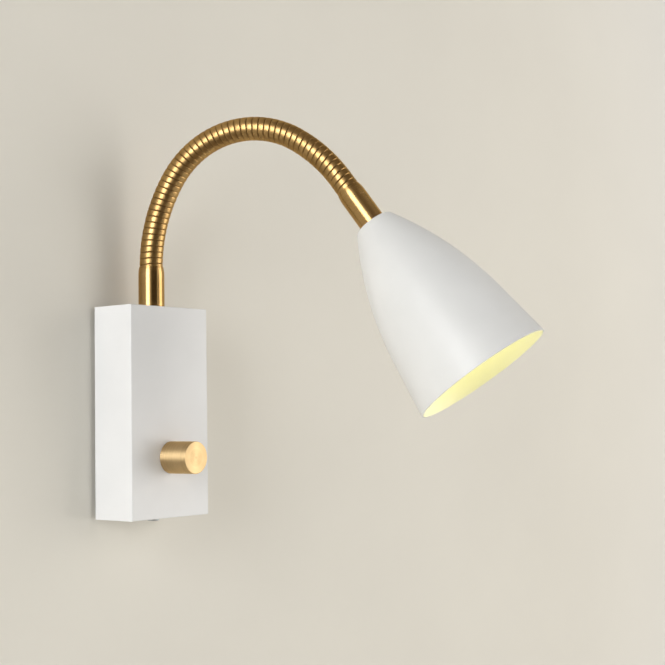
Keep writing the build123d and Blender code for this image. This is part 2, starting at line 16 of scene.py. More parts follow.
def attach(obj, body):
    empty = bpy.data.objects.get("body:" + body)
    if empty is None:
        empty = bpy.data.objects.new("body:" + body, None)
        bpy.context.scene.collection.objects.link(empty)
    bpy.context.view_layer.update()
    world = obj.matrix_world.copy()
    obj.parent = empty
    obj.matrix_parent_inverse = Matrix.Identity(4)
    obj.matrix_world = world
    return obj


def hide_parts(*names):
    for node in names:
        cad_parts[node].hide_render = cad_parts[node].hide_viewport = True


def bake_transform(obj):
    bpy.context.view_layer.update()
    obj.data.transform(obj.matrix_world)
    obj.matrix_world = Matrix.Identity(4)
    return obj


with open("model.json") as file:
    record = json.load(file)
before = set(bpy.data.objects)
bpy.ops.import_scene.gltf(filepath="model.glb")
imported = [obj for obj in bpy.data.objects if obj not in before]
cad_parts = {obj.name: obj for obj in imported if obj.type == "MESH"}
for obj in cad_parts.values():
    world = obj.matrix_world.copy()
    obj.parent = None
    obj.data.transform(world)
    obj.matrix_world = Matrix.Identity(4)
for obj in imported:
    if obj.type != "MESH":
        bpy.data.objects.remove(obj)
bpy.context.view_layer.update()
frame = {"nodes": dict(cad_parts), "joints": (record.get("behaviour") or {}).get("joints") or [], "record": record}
nodes = frame["nodes"]

# %% [markdown]
# ## The camera
# The lamp is seen from its left and a little from below, with a long lens. A camera can be aimed
# with a Track To constraint, but then it can't lean. Here its three turns are written out: round
# the upright axis, up from the horizon, and about the lens itself.

# %% Place the camera
camera_place = (-0.5229, -0.5665, -0.0019)
camera_yaw = math.radians(-51.51)
camera_pitch = math.radians(3.52)
camera_roll = math.radians(-0.92)
camera_lens = 70.38

camera_data = bpy.data.cameras.new("camera")
camera_data.lens = camera_lens
camera = bpy.data.objects.new("camera", camera_data)
bpy.context.scene.collection.objects.link(camera)
camera.location = camera_place
camera_tilt = Matrix.Rotation(math.pi / 2 + camera_pitch, 3, "X")
camera_lean = Matrix.Rotation(camera_roll, 3, "Z")
camera_turn = Matrix.Rotation(camera_yaw, 3, "Z") @ camera_tilt @ camera_lean
camera.rotation_euler = camera_turn.to_euler()
bpy.context.scene.camera = camera
bpy.context.scene.view_settings.view_transform = "Standard"
print("camera at", camera_place, "lens", camera_lens)

# %% [markdown]
# ## The lights
# A window at the left lights the side of the box, and a softer light at the front right lights its
# face. Small point lights would be simpler, but their shadows have hard edges. Area lights are
# used, because their size makes the edges soft.

# %% Light the lamp
def area_light(name, place, target, size, power, colour):
    """A square soft light that looks at a point. The camera doesn't see it."""
    data = bpy.data.lights.new(name, "AREA")
    data.shape = "SQUARE"
    data.size = size
    data.energy = power
    data.color = colour
    light = bpy.data.objects.new(name, data)
    bpy.context.scene.collection.objects.link(light)
    light.location = place
    aim = Vector(target) - Vector(place)
    light.rotation_euler = aim.to_track_quat("-Z", "Y").to_euler()
    light.visible_camera = False
    return light


lamp_middle = (0.02, -0.10, 0.06)
window_place = (-2.30, -0.45, 0.55)
front_place = (1.35, -1.60, 0.20)
cool_white = (0.97, 0.985, 1.0)
warm_white = (1.0, 0.972, 0.93)
area_light("window", window_place, lamp_middle, size=1.6, power=52.0, colour=cool_white)
area_light("front_light", front_place, lamp_middle, size=1.7, power=24.5, colour=warm_white)
print("window at", window_place, "front light at", front_place)

# %% [markdown]
# ## Helpers for nodes
# A shader is a tree of nodes. To add one node, set it and link it takes several lines, and the
# finishes need many, so short functions do it. A Light Path node tells what the camera, metal and
# glass see from the light that falls on the lamp. The room, the wall and the floor all need that.

# %% Node helpers
def add_node(tree, kind, links=(), **settings):
    """A node with its settings, and its inputs linked from (input, output) pairs."""
    node = tree.nodes.new(kind)
    for name, value in settings.items():
        setattr(node, name, value)
    for socket, source in links:
        tree.links.new(source, node.inputs[socket])
    return node


def add_maths(tree, operation, first, second=0.0):
    """One operation on two outputs or numbers."""
    node = add_node(tree, "ShaderNodeMath", operation=operation)
    for index, value in enumerate((first, second)):
        if isinstance(value, bpy.types.NodeSocket):
            tree.links.new(value, node.inputs[index])
        else:
            node.inputs[index].default_value = value
    return node.outputs[0]


def mix_shaders(tree, mask, first, second):
    """The first shader where a mask is 0, and the second where it is 1."""
    links = enumerate((mask, first, second))
    return add_node(tree, "ShaderNodeMixShader", links).outputs[0]


def seeing_rays(tree):
    """1 for the rays of the camera, of metal and of glass, and 0 for all others."""
    rays = tree.nodes.new("ShaderNodeLightPath").outputs
    eye_or_metal = add_maths(tree, "MAXIMUM", rays["Is Camera Ray"], rays["Is Glossy Ray"])
    return add_maths(tree, "MAXIMUM", eye_or_metal, rays["Is Transmission Ray"])


print("node helpers ready")

# %% [markdown]
# ## The room
# The world is a pale room. It gives a little light from all round, and the camera, metal and glass
# see it paler than that light, so that the background stays pale. One strength for both would make
# the room too dark or the light too flat.

# %% Paint the room
room_light = 0.20
room_seen = 0.72
room_colour = (1.0, 0.975, 0.935, 1.0)

world = bpy.data.worlds.new("room")
bpy.context.scene.world = world
world.use_nodes = True
room_tree = world.node_tree
lit = room_tree.nodes["Background"]
seen = room_tree.nodes.new("ShaderNodeBackground")
for background, strength in ((lit, room_light), (seen, room_seen)):
    background.inputs["Color"].default_value = room_colour
    background.inputs["Strength"].default_value = strength
room_view = mix_shaders(room_tree, seeing_rays(room_tree), lit.outputs[0], seen.outputs[0])
room_tree.links.new(room_view, room_tree.nodes["World Output"].inputs["Surface"])
print("room light", room_light, "and seen at", room_seen)

# %% [markdown]
# ## Helpers for modelling
# An operator acts on all that is selected, and the frame's nodes are selected once they are loaded.
# So each piece starts from nothing selected. The helpers below see to that in one place, so that no
# later step can forget it.

# %% Modelling helpers
outline_seed = 0.001


def start_piece():
    """Nothing selected, in object mode."""
    if bpy.context.mode != "OBJECT":
        bpy.ops.object.mode_set(mode="OBJECT")
    bpy.ops.object.select_all(action="DESELECT")


def work_on(piece):
    """The one selected and active piece."""
    start_piece()
    piece.select_set(True)
    bpy.context.view_layer.objects.active = piece


def apply_modifier(piece, kind, **settings):
    """Add a modifier, set it and apply it."""
    work_on(piece)
    bpy.ops.object.modifier_add(type=kind)
    modifier = piece.modifiers[-1]
    for name, value in settings.items():
        setattr(modifier, name, value)
    bpy.ops.object.modifier_apply(modifier=modifier.name)


def add_plane(name, size, place=(0.0, 0.0, 0.0)):
    """A level square, the start of a piece."""
    start_piece()
    bpy.ops.mesh.primitive_plane_add(size=size, location=place)
    piece = bpy.context.object
    piece.name = piece.data.name = name
    return piece


def draw_outline(name, points):
    """A chain of edges: a plane merged to one corner, which is extruded from point to point."""
    piece = add_plane(name, outline_seed)
    bpy.ops.object.mode_set(mode="EDIT")
    bpy.ops.mesh.select_mode(type="VERT")
    bpy.ops.mesh.merge(type="CENTER")
    bpy.ops.transform.translate(value=points[0])
    for here, there in zip(points, points[1:]):
        step = Vector(there) - Vector(here)
        bpy.ops.mesh.extrude_region_move(TRANSFORM_OT_translate={"value": step})
    bpy.ops.object.mode_set(mode="OBJECT")
    return piece


def copy_piece(piece, name):
    """A copy with a mesh of its own."""
    copied = piece.copy()
    copied.data = piece.data.copy()
    copied.name = copied.data.name = name
    bpy.context.scene.collection.objects.link(copied)
    return copied


print("modelling helpers ready")

# %% [markdown]
# ## The gooseneck
# The neck is a hose wound from brass strip: one bead runs round it as a screw thread does, 52 turns
# from collar to collar. A stack of rings would be simpler, but a wound hose has no closed rings. So
# one bead is drawn, and the Screw modifier winds it four turns. That section is copied along a
# straight line, and a Curve modifier lays each copy on the neck's own line. The line comes first:
# three arcs and a short straight end, all in one upright plane.

# %% The neck's line
neck_foot = Vector((0.0, -0.017, 0.084))
neck_heading = math.radians(22.0)
neck_arcs = [
    (0.0960, math.radians(32.0)),
    (0.0545, math.radians(90.0)),
    (0.0900, math.radians(23.0)),
]
neck_straight = 0.0072
neck_out = Vector((math.sin(neck_heading), -math.cos(neck_heading), 0.0))
neck_up = Vector((0.0, 0.0, 1.0))
hose_length = sum(radius * turn for radius, turn in neck_arcs) + neck_straight


def neck_direction(lean):
    """The way the neck points where it has leaned so far from upright."""
    return neck_up * math.cos(lean) + neck_out * math.sin(lean)


def neck_place(station):
    """The point of the neck's line at a distance from the lower collar, and its lean there."""
    point, lean, left = neck_foot.copy(), 0.0, station
    for radius, turn in neck_arcs:
        part = min(max(left, 0.0) / radius, turn)
        point += neck_out * radius * (math.cos(lean) - math.cos(lean + part))
        point += neck_up * radius * (math.sin(lean + part) - math.sin(lean))
        lean += part
        left -= part * radius
    return point + neck_direction(lean) * left, lean


print("hose", round(hose_length * 1000, 2), "mm long")

# %% [markdown]
# The Curve modifier needs the line as a curve object. A chain of short straight edges would do, but
# a Bezier curve needs only seven knots. An arc's handles are 4/3 tan(turn / 4) of its radius long,
# which is true to about a thousandth of a millimetre here, with the quarter turn cut in two.
# Straight ends reach into the collars, so that no copy runs off the curve.

# %% Draw the line
stub_length = 0.013
handle_share = 4.0 / 3.0
widest_arc = math.radians(45.0)
line_steps = 64


def neck_curve():
    """The neck's line as a Bezier curve, from inside one collar to inside the other."""
    places = [neck_place(-stub_length), neck_place(0.0)]
    handles = [stub_length / 3]
    station = 0.0
    for radius, turn in neck_arcs:
        parts = math.ceil(turn / widest_arc)
        for _ in range(parts):
            station += radius * turn / parts
            places.append(neck_place(station))
            handles.append(handle_share * math.tan(turn / parts / 4) * radius)
    places.append(neck_place(hose_length + stub_length))
    handles.append((neck_straight + stub_length) / 3)
    data = bpy.data.curves.new("neck_line", "CURVE")
    data.dimensions = "3D"
    data.resolution_u = line_steps
    data.twist_mode = "MINIMUM"
    spline = data.splines.new("BEZIER")
    spline.bezier_points.add(len(places) - 1)
    for index, knot in enumerate(spline.bezier_points):
        place, lean = places[index]
        heading = neck_direction(lean)
        knot.handle_left_type = knot.handle_right_type = "FREE"
        knot.co = place
        knot.handle_left = place - heading * handles[max(index - 1, 0)]
        knot.handle_right = place + heading * handles[min(index, len(handles) - 1)]
    line = bpy.data.objects.new("neck_line", data)
    bpy.context.scene.collection.objects.link(line)
    return line


neck_line = neck_curve()
print("neck line of", len(neck_line.data.splines[0].bezier_points), "knots")

# %% [markdown]
# One turn's outline is a strip with a slight crown that dips into a narrow groove at each edge, so
# that the light runs along the hose in bands. Bump in the material could draw the grooves, but then
# they wouldn't show at the hose's edges. Merging doubles joins each turn to the next, and Solidify
# gives the strip its thickness, inwards. Each vertex also keeps how deep it lies in the groove, so
# that the finish can paint shade into the grooves.

# %% Wind one section
link_count = 13
turns_per_link = 4
hose_radius = 0.0067
groove_depth = 0.00028
groove_share = 0.28
crown_height = 0.00005
strip_thickness = 0.0008
bead_points = 12
steps_per_turn = 56
merge_distance = 1e-6
crease_angle = math.radians(60.0)
link_length = hose_length / link_count
bead_pitch = link_length / turns_per_link


def bead_outline():
    """(along the hose, 0, out of it) from one groove to the next."""
    points = []
    for index in range(bead_points + 1):
        share = -math.cos(math.pi * index / bead_points)
        fall = max(abs(share) - 1.0 + groove_share, 0.0) / groove_share
        drop = crown_height * share**2 + (groove_depth - crown_height) * fall**2
        points.append((bead_pitch * share / 2, 0.0, hose_radius - drop))
    return points


def wound_section():
    """Four turns of the hose along X, with each vertex's groove depth kept for the painted shade."""
    section = draw_outline("hose_section", bead_outline())
    apply_modifier(
        section,
        "SCREW",
        axis="X",
        angle=math.tau,
        screw_offset=bead_pitch,
        iterations=turns_per_link,
        steps=steps_per_turn,
        render_steps=steps_per_turn,
    )
    bpy.ops.object.mode_set(mode="EDIT")
    bpy.ops.mesh.select_all(action="SELECT")
    bpy.ops.mesh.remove_doubles(threshold=merge_distance)
    bpy.ops.mesh.normals_make_consistent(inside=False)
    bpy.ops.object.mode_set(mode="OBJECT")
    groove = section.data.attributes.new("groove", "FLOAT", "POINT")
    for vertex, mark in zip(section.data.vertices, groove.data):
        radius = math.hypot(vertex.co.y, vertex.co.z)
        mark.value = (hose_radius - radius) / groove_depth
    apply_modifier(section, "SOLIDIFY", thickness=strip_thickness, offset=-1.0, use_rim=True)
    bpy.ops.object.shade_smooth_by_angle(angle=crease_angle)
    return section


hose_section = wound_section()
print("section of", len(hose_section.data.polygons), "faces")

# %% [markdown]
# Each section lies over one joint of the frame, from mid-link to mid-link. The half links at the
# ends ride with the collars: they are cut flat at the collar's mouth, where the real hose goes on as
# a plain tube inside.

# %% Lay the sections on the line
cut_tolerance = 1e-7


def cut_flat(piece, station, keep_above):
    """Cut a straight section square at a station, and close the strip's two edges with a ring."""
    work_on(piece)
    bpy.ops.object.mode_set(mode="EDIT")
    bpy.ops.mesh.select_all(action="SELECT")
    bpy.ops.mesh.bisect(
        plane_co=(station, 0.0, 0.0),
        plane_no=(1.0, 0.0, 0.0),
        clear_inner=keep_above,
        clear_outer=not keep_above,
        threshold=cut_tolerance,
    )
    bpy.ops.mesh.bridge_edge_loops()
    bpy.ops.object.mode_set(mode="OBJECT")


def lay_section(number):
    """The section over a joint: number 0 is at the lower collar, the last at the upper one."""
    piece = copy_piece(hose_section, f"gooseneck_{number:02d}")
    first = stub_length + (number - 0.5) * link_length
    piece.data.transform(Matrix.Translation((first, 0.0, 0.0)))
    if number == 0:
        cut_flat(piece, stub_length, True)
    if number == link_count:
        cut_flat(piece, stub_length + hose_length, False)
    apply_modifier(piece, "CURVE", object=neck_line, deform_axis="POS_X")
    return piece


hose_pieces = [lay_section(number) for number in range(link_count + 1)]
for number, piece in enumerate(hose_pieces):
    if number == 0:
        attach(piece, "base")
        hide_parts("neck_hose_01")
    elif number == link_count:
        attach(piece, "head")
        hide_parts(f"neck_hose_{link_count:02d}")
    else:
        start, _ = neck_place((number - 0.5) * link_length + bead_pitch / 2)
        end, _ = neck_place((number + 0.5) * link_length - bead_pitch / 2)
        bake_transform(piece)
        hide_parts(f"neck_hose_{number:02d}", f"neck_hose_{number + 1:02d}")
bpy.data.objects.remove(hose_section)
bpy.data.objects.remove(neck_line)
print("gooseneck of", len(hose_pieces), "sections")

# %% [markdown]
# ## Effects that several finishes share
# A lacquered box, a turned collar and a moulded block differ, but each has fine marks that catch the
# light. Such an effect is built once as a node group with its own inputs, and each finish places it
# with its own values. A group only puts out tones and heights; the shader stays in the material.

# %% Group helpers
def new_group(name, numbers, outputs):
    """An empty shader group that reads a vector and some numbers, and puts out numbers."""
    group = bpy.data.node_groups.new(name, "ShaderNodeTree")
    group.interface.new_socket("Vector", in_out="INPUT", socket_type="NodeSocketVector")
    for label, value in numbers.items():
        socket = group.interface.new_socket(label, in_out="INPUT", socket_type="NodeSocketFloat")
        socket.default_value = value
    for label in outputs:
        group.interface.new_socket(label, in_out="OUTPUT", socket_type="NodeSocketFloat")
    return group, group.nodes.new("NodeGroupInput"), group.nodes.new("NodeGroupOutput")


def add_noise(tree, vector, scale, detail, dimensions="3D"):
    """Noise that is read at a vector; scale is a number or an output."""
    noise = add_node(tree, "ShaderNodeTexNoise", noise_dimensions=dimensions)
    tree.links.new(vector, noise.inputs["Vector"])
    if isinstance(scale, bpy.types.NodeSocket):
        tree.links.new(scale, noise.inputs["Scale"])
    else:
        noise.inputs["Scale"].default_value = scale
    noise.inputs["Detail"].default_value = detail
    return noise.outputs["Fac"]


print("group helpers ready")

# %% [markdown]
# Lacquer baked from powder dries with a faint orange-peel skin: soft waves about a millimetre
# across with finer specks on them, over slow changes of tone that only a raking light shows. The
# mesh could be displaced, but it would need far more faces than the rest of the lamp. Two noises
# make the height for a bump instead, and a third one makes the tone.

# %% Group: orange peel
peel_speck_fineness = 5.0
peel_speck_share = 0.25
peel_tone_scale = 26.0

peel, peel_in, peel_out = new_group("orange_peel", {"Fineness": 900.0}, ["Height", "Tone"])
peel_vector = peel_in.outputs["Vector"]
peel_waves = add_noise(peel, peel_vector, peel_in.outputs["Fineness"], detail=2.0)
peel_finer = add_maths(peel, "MULTIPLY", peel_in.outputs["Fineness"], peel_speck_fineness)
peel_specks = add_noise(peel, peel_vector, peel_finer, detail=1.0)
peel_soft = add_maths(peel, "MULTIPLY", peel_specks, peel_speck_share)
peel_tone = add_noise(peel, peel_vector, peel_tone_scale, detail=3.0)
peel.links.new(add_maths(peel, "ADD", peel_waves, peel_soft), peel_out.inputs["Height"])
peel.links.new(peel_tone, peel_out.inputs["Tone"])
print("group", peel.name)

# %% [markdown]
# A lathe leaves rings round its axis. On the side of a turned piece they change along the axis, and
# on its end with the distance from it. A Wave texture also draws rings, but they are too even. Noise
# that is read at (radius, height) gives uneven ones, on the side and on the end at once.

# %% Group: lathe rings
broad_ring_fineness = 0.18

lathe, lathe_in, lathe_out = new_group("lathe_rings", {"Fineness": 4000.0}, ["Height", "Tone"])
lathe_fineness = lathe_in.outputs["Fineness"]
lathe_parts = add_node(lathe, "ShaderNodeSeparateXYZ", [("Vector", lathe_in.outputs["Vector"])])
lathe_x = add_maths(lathe, "POWER", lathe_parts.outputs["X"], 2.0)
lathe_y = add_maths(lathe, "POWER", lathe_parts.outputs["Y"], 2.0)
lathe_radius = add_maths(lathe, "SQRT", add_maths(lathe, "ADD", lathe_x, lathe_y))
lathe_axes = [("X", lathe_radius), ("Y", lathe_parts.outputs["Z"])]
lathe_plane = add_node(lathe, "ShaderNodeCombineXYZ", lathe_axes).outputs[0]
lathe_fine = add_noise(lathe, lathe_plane, lathe_fineness, detail=2.0, dimensions="2D")
lathe_wider = add_maths(lathe, "MULTIPLY", lathe_fineness, broad_ring_fineness)
lathe_broad = add_noise(lathe, lathe_plane, lathe_wider, detail=3.0, dimensions="2D")
lathe_both = add_maths(lathe, "ADD", lathe_fine, lathe_broad)
lathe.links.new(lathe_fine, lathe_out.inputs["Height"])
lathe.links.new(add_maths(lathe, "MULTIPLY", lathe_both, 0.5), lathe_out.inputs["Tone"])
print("group", lathe.name)

# %% [markdown]
# Handled metal tarnishes in clouds, with small specks where the lacquer is thin. Moulded plastic,
# rubber, plating and wall paint have such clouds and specks at other sizes. Pictures of them could be
# laid on the pieces, but they would need a map and would show their seams. Noise needs neither.

# %% Group: clouds and specks
cloud_numbers = {"Cloud Scale": 60.0, "Speck Scale": 2500.0}

cloud, cloud_in, cloud_out = new_group("clouds_and_specks", cloud_numbers, ["Cloud", "Speck"])
cloud_vector = cloud_in.outputs["Vector"]
cloud_soft = add_noise(cloud, cloud_vector, cloud_in.outputs["Cloud Scale"], detail=4.0)
cloud_fine = add_noise(cloud, cloud_vector, cloud_in.outputs["Speck Scale"], detail=2.0)
cloud.links.new(cloud_soft, cloud_out.inputs["Cloud"])
cloud.links.new(cloud_fine, cloud_out.inputs["Speck"])
print("group", cloud.name)

# %% [markdown]
# ## Finishes
# Every finish starts the same way: a Principled shader, object coordinates that a Mapping node can
# centre and turn on a piece, and helpers that turn a tone into a colour or a number. The noises stay
# mostly between 0.3 and 0.7, so most tones are read over that span.

# %% Material helpers
noise_span = (0.3, 0.7)


def new_finish(name, centre=(0.0, 0.0, 0.0), axis=(0.0, 0.0, 1.0)):
    """A material, its tree, its shader, and coordinates with a piece's axis as their Z."""
    material = bpy.data.materials.new(name)
    material.use_nodes = True
    tree = material.node_tree
    shader = tree.nodes["Principled BSDF"]
    place = tree.nodes.new("ShaderNodeTexCoord").outputs["Object"]
    mapping = add_node(tree, "ShaderNodeMapping", [("Vector", place)])
    upright = Vector(axis).rotation_difference(Vector((0.0, 0.0, 1.0)))
    mapping.inputs["Location"].default_value = -(upright @ Vector(centre))
    mapping.inputs["Rotation"].default_value = upright.to_euler()
    return material, tree, shader, mapping.outputs["Vector"]


def place_group(tree, group, vector, **values):
    """One use of a shared effect, with its own values."""
    node = add_node(tree, "ShaderNodeGroup", node_tree=group)
    tree.links.new(vector, node.inputs["Vector"])
    for label, value in values.items():
        node.inputs[label.replace("_", " ")].default_value = value
    return node.outputs


def fade(tree, mask, colours, span=noise_span):
    """A colour that goes from one to another as a mask crosses a span."""
    ramp = add_node(tree, "ShaderNodeValToRGB", [("Fac", mask)])
    for element, place, colour in zip(ramp.color_ramp.elements, span, colours):
        element.position = place
        element.color = (*colour, 1.0)
    return ramp.outputs["Color"]


def between(tree, mask, values):
    """A number that goes from one to another as a mask crosses the noises' span."""
    scale = add_node(tree, "ShaderNodeMapRange", [("Value", mask)])
    sockets = ("From Min", "From Max", "To Min", "To Max")
    for socket, value in zip(sockets, (*noise_span, *values)):
        scale.inputs[socket].default_value = value
    return scale.outputs["Result"]


def raise_surface(tree, shader, height, depth, strength):
    """Bump: a height of 0 to 1 that stands for a depth in metres."""
    bump = add_node(tree, "ShaderNodeBump", [("Height", height)])
    bump.inputs["Distance"].default_value = depth
    bump.inputs["Strength"].default_value = strength
    tree.links.new(bump.outputs["Normal"], shader.inputs["Normal"])


print("material helpers ready")

# %% [markdown]
# The box and the shade are steel sheet with baked white lacquer: nearly neutral, satin, and a touch
# warmer on the shade. The shade's white is also darker than the box's, and that is painted shade.
# One flat white would do from afar, but nearer it looks like paper. So colour and roughness follow
# the slow tone of the orange peel, and its waves raise the surface.

# %% White lacquer
box_whites = ((0.80, 0.80, 0.80), (0.84, 0.84, 0.84))
# painted shade: the shade's white is darker than the box's
shade_whites = ((0.745, 0.745, 0.735), (0.785, 0.785, 0.775))
lacquer_roughness = (0.46, 0.38)
lacquer_gloss = 0.4


def white_lacquer(name, colours, fineness):
    """Baked lacquer with an orange-peel skin."""
    material, tree, shader, vector = new_finish(name)
    skin = place_group(tree, peel, vector, Fineness=fineness)
    tree.links.new(fade(tree, skin["Tone"], colours), shader.inputs["Base Color"])
    tree.links.new(between(tree, skin["Tone"], lacquer_roughness), shader.inputs["Roughness"])
    shader.inputs["Specular IOR Level"].default_value = lacquer_gloss
    raise_surface(tree, shader, skin["Height"], depth=0.00004, strength=0.35)
    return material


box_lacquer = white_lacquer("box_lacquer", box_whites, fineness=1100.0)
shade_lacquer = white_lacquer("shade_lacquer", shade_whites, fineness=1000.0)
print("lacquers", box_lacquer.name, shade_lacquer.name)

# %% [markdown]
# The collars and the knob are turned from brass and brushed while they spin, so each has rings round
# its own axis. Bumps as fine as brush marks would be lost between the pixels. So the shader itself is
# anisotropic, with a tangent that runs round the axis. The rings change its tone and its roughness,
# and raise it a little.

# %% Brush marks
brass_edge = (0.92, 0.75, 0.50, 1.0)
brushing = 0.85
quarter_turn = 0.25


def make_brass(shader):
    """Metal that reflects paler at its edges."""
    shader.inputs["Metallic"].default_value = 1.0
    shader.inputs["Specular Tint"].default_value = brass_edge


def brush_round(tree, shader, centre, axis):
    """Brush marks run round the axis, so a highlight spreads across them."""
    place = tree.nodes.new("ShaderNodeTexCoord").outputs["Object"]
    arm = add_node(tree, "ShaderNodeVectorMath", [(0, place)], operation="SUBTRACT")
    arm.inputs[1].default_value = centre
    arm_links = [(0, arm.outputs[0])]
    around = add_node(tree, "ShaderNodeVectorMath", arm_links, operation="CROSS_PRODUCT")
    around.inputs[1].default_value = axis
    turn = add_node(tree, "ShaderNodeVectorTransform", [(0, around.outputs[0])])
    turn.vector_type, turn.convert_from, turn.convert_to = "VECTOR", "OBJECT", "WORLD"
    tree.links.new(turn.outputs[0], shader.inputs["Tangent"])
    shader.inputs["Anisotropic"].default_value = brushing
    shader.inputs["Anisotropic Rotation"].default_value = quarter_turn


print("brushed by", brushing)

# %% [markdown]
# Each turned piece has its own centre and axis. They could be typed in piece by piece, but then they
# could disagree with the neck or the knob's joint. So the collars take theirs from the neck's line,
# and the knob takes its height from its joint. The knob is rougher than the collars, and its paler
# colour is painted highlight.

# %% Turned brass
brass_span = (0.3, 0.62)
ring_share = 0.6
stain_share = 0.4
collar_look = {
    "fineness": 5200.0,
    "roughness": (0.2, 0.28),
    "colours": ((0.34, 0.20, 0.068), (0.52, 0.337, 0.142)),
}
# painted highlight: the knob's colours are paler than the collars'
knob_look = {
    "fineness": 3600.0,
    "roughness": (0.46, 0.54),
    "colours": ((0.58, 0.415, 0.21), (0.81, 0.605, 0.335)),
}


def turned_brass(name, centre, axis, fineness, roughness, colours):
    """Brass with rings and brush marks round an axis."""
    material, tree, shader, vector = new_finish(name, centre, axis)
    make_brass(shader)
    brush_round(tree, shader, centre, axis)
    rings = place_group(tree, lathe, vector, Fineness=fineness)
    stains = place_group(tree, cloud, vector, Cloud_Scale=70.0)
    ring_tone = add_maths(tree, "MULTIPLY", rings["Tone"], ring_share)
    stain_tone = add_maths(tree, "MULTIPLY", stains["Cloud"], stain_share)
    tone = add_maths(tree, "ADD", ring_tone, stain_tone)
    tree.links.new(fade(tree, tone, colours, brass_span), shader.inputs["Base Color"])
    tree.links.new(between(tree, tone, roughness), shader.inputs["Roughness"])
    raise_surface(tree, shader, rings["Height"], depth=0.00001, strength=0.5)
    return material


collar_length = 0.024
shade_axis = neck_direction(neck_place(hose_length)[1])
shade_top = neck_place(hose_length + collar_length)[0]
knob_joint = next(joint for joint in frame["joints"] if joint["child"] == "knob")
knob_middle = (0.0, 0.0, knob_joint["pos_m"][2])
knob_axis = (0.0, 1.0, 0.0)
turned = {
    "lower_collar": turned_brass("lower_collar_brass", neck_foot, neck_up, **collar_look),
    "upper_collar": turned_brass("upper_collar_brass", shade_top, shade_axis, **collar_look),
    "knob": turned_brass("knob_brass", knob_middle, knob_axis, **knob_look),
}
print("turned brass", sorted(turned))

# %% [markdown]
# The hose is wound from drawn strip, which has no rings. Its grooves are painted darker: painted
# shade, which ambient occlusion could find, but slowly. The mesh already says how deep each vertex
# lies, so that depth darkens the colour as painted shade.

# %% Wound brass
hose_colours = ((0.25, 0.148, 0.053), (0.465, 0.295, 0.118))
hose_span = (0.0, 0.62)
hose_roughness = (0.36, 0.28)


def wound_brass(name):
    """Drawn brass with painted shade in its grooves."""
    material, tree, shader, vector = new_finish(name)
    make_brass(shader)
    stains = place_group(tree, cloud, vector, Cloud_Scale=110.0, Speck_Scale=2600.0)
    groove = add_node(tree, "ShaderNodeAttribute", attribute_name="groove").outputs["Fac"]
    # painted shade: the square of the groove depth darkens the colour in the grooves
    groove_shade = add_maths(tree, "MULTIPLY", groove, groove)
    tone = add_maths(tree, "SUBTRACT", stains["Cloud"], groove_shade)
    tree.links.new(fade(tree, tone, hose_colours, hose_span), shader.inputs["Base Color"])
    tree.links.new(between(tree, stains["Cloud"], hose_roughness), shader.inputs["Roughness"])
    raise_surface(tree, shader, stains["Speck"], depth=0.000006, strength=0.4)
    return material


hose_brass = wound_brass("hose_brass")
print("brass", hose_brass.name)

# %% [markdown]
# Zinc plating and nickel cover the hidden steel. Zinc has a grey, cloudy spangle, and nickel is
# brighter and warmer. The contacts are plain brass that has dulled. Each could have a tree of its
# own, but they differ only in their values, and so do plastic and rubber. So one function makes all.

# %% Plated metal
plating_span = (0.32, 0.68)
plating_specks = 1800.0
plating_grain = 2e-5


def cloudy(name, colours, roughness, cloud_scale, speck_scale, grain, span=noise_span):
    """Colour and roughness that change with clouds, and specks raised by a grain in metres."""
    material, tree, shader, vector = new_finish(name)
    stains = place_group(tree, cloud, vector, Cloud_Scale=cloud_scale, Speck_Scale=speck_scale)
    tree.links.new(fade(tree, stains["Cloud"], colours, span), shader.inputs["Base Color"])
    tree.links.new(between(tree, stains["Cloud"], roughness), shader.inputs["Roughness"])
    raise_surface(tree, shader, stains["Speck"], depth=grain, strength=0.4)
    return material


def plated_metal(name, colours, roughness, cloud_scale):
    """A thin bright metal with a fine grain."""
    surface = (cloud_scale, plating_specks, plating_grain, plating_span)
    material = cloudy(name, colours, roughness, *surface)
    shader = material.node_tree.nodes["Principled BSDF"]
    shader.inputs["Metallic"].default_value = 1.0
    return material


zinc_greys = ((0.46, 0.48, 0.50), (0.66, 0.68, 0.70))
nickel_greys = ((0.62, 0.59, 0.54), (0.76, 0.73, 0.68))
dull_yellows = ((0.42, 0.29, 0.11), (0.62, 0.45, 0.19))
zinc_plating = plated_metal("zinc_plating", zinc_greys, roughness=(0.48, 0.30), cloud_scale=240.0)
nickel_plating = plated_metal("nickel_plating", nickel_greys, roughness=(0.30, 0.18), cloud_scale=160.0)
dull_brass = plated_metal("dull_brass", dull_yellows, roughness=(0.44, 0.28), cloud_scale=300.0)
print("plating", zinc_plating.name, nickel_plating.name, dull_brass.name)

# %% [markdown]
# The moulded and drawn pieces, such as the terminal block, the lampholder, the grommet and the
# insulation of the wires, differ in colour, in gloss and in how deep their grain is. Seven calls
# would also do, but a table shows their values side by side.

# %% Plastic and rubber
moulded_clouds = 90.0
moulded_specks = 3200.0
moulded_values = {
    "block_plastic": (((0.70, 0.67, 0.58), (0.78, 0.75, 0.66)), (0.42, 0.34), 2e-5),
    "dimmer_plastic": (((0.020, 0.020, 0.022), (0.04, 0.04, 0.042)), (0.5, 0.4), 2e-5),
    "holder_plastic": (((0.72, 0.71, 0.68), (0.80, 0.79, 0.76)), (0.40, 0.30), 1e-5),
    "grommet_rubber": (((0.022, 0.022, 0.022), (0.05, 0.05, 0.05)), (0.75, 0.62), 4e-5),
    "lead_sheath": (((0.66, 0.65, 0.62), (0.74, 0.73, 0.70)), (0.48, 0.40), 1e-5),
    "live_sleeve": (((0.17, 0.065, 0.025), (0.23, 0.09, 0.035)), (0.45, 0.35), 1e-5),
    "neutral_sleeve": (((0.02, 0.09, 0.36), (0.03, 0.12, 0.45)), (0.45, 0.35), 1e-5),
}
moulded = {
    name: cloudy(name, colours, roughness, moulded_clouds, moulded_specks, grain)
    for name, (colours, roughness, grain) in moulded_values.items()
}
print("moulded finishes", len(moulded))

